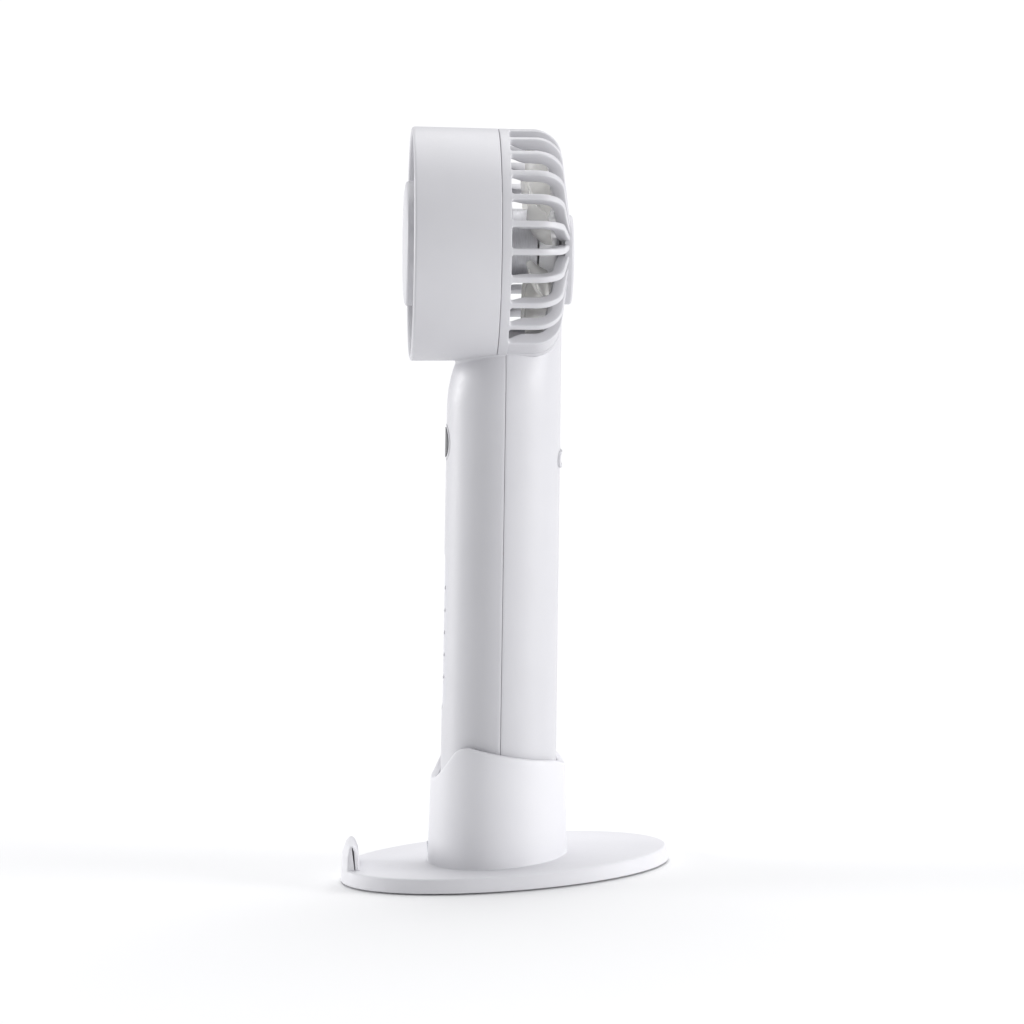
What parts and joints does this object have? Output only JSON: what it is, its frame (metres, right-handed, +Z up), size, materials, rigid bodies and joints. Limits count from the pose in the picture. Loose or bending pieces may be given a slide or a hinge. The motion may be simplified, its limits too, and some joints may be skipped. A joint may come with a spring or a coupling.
{
  "type": "handheld electric fan",
  "caption": "Round handheld fan with a ribbed guard and a round handle, standing in a low oval desk stand whose front edge has a lip for a phone.",
  "frame": {"origin": "centre of the stand's foot, on the surface that it stands on", "axes": "+Z up, -Y the side that the fan blows to and that has the power button, +X the user's left when facing the air flow"},
  "size_m": [0.072, 0.103, 0.234],
  "materials": {
    "stand_shell": "fine matt moulded plastic",
    "fan_shell": "fine matt moulded plastic",
    "inlay": "satin moulded plastic",
    "steel": "plated",
    "soft_pad": "matt rubber",
    "motor_paint": "satin dark grey paint",
    "dark_plastic": "matt black plastic",
    "magnet": "ferrite",
    "bronze": "sintered bronze",
    "copper": "copper",
    "clear_plastic": "frosted translucent plastic",
    "cell_wrap": "shrink-wrapped cell",
    "red_wire": "insulation",
    "black_wire": "insulation",
    "circuit_board": "solder mask",
    "bezel": "satin grey plastic",
    "button_plastic": "satin dark grey plastic"
  },
  "bodies": {
    "stand": {"stand_base": "stand_shell", "stand_collar": "stand_shell", "ballast_plate": "steel", "foot_pad": "soft_pad", "collar_screws": "steel"},
    "seat": {"seat_pad": "soft_pad"},
    "fan": {"front_shell": "fan_shell", "rear_shell": "fan_shell", "handle_end_cap": "fan_shell", "shell_screws": "steel", "grip_inlay": "inlay", "rear_guard": "fan_shell", "rear_disc": "fan_shell", "front_grille": "fan_shell", "front_cap": "fan_shell", "motor_bracket": "fan_shell", "bracket_screws": "steel", "motor_screws": "steel", "motor_can": "motor_paint", "motor_end_cap": "dark_plastic", "motor_magnets": "magnet", "motor_bushes": "bronze", "battery_cell": "cell_wrap", "battery_holder": "fan_shell", "battery_tabs": "steel", "battery_leads": "red_wire", "motor_leads": "black_wire", "main_pcb": "circuit_board", "control_chip": "dark_plastic", "inductor": "dark_plastic", "usb_socket": "steel", "usb_tongue": "dark_plastic", "port_bezel": "bezel", "button_pcb": "circuit_board", "tact_switch": "dark_plastic", "button_bezel": "bezel"},
    "impeller": {"impeller": "clear_plastic", "impeller_nut": "steel", "motor_shaft": "steel", "armature": "copper", "commutator": "copper"},
    "button": {"power_button": "button_plastic", "switch_plunger": "dark_plastic"}
  },
  "joints": [
    {"name": "fan_turn", "type": "hinge", "parent": "stand", "child": "seat", "pos_m": [0, -0.0026, 0], "axis": [0, 0.0785, 0.9969], "continuous": true},
    {"name": "fan_lift", "type": "slide", "parent": "seat", "child": "fan", "axis": [0, 0.0785, 0.9969], "range_m": [0, 0.065]},
    {"name": "impeller_spin", "type": "hinge", "parent": "fan", "child": "impeller", "pos_m": [0, 0.01282, 0.19589], "axis": [0, 0.9969, -0.0785], "continuous": true},
    {"name": "button_press", "type": "slide", "parent": "fan", "child": "button", "axis": [0, 0.9969, -0.0785], "range_m": [0, 0.0005], "stiffness_N_per_m": 1500, "springref_m": -0.0003}
  ]
}
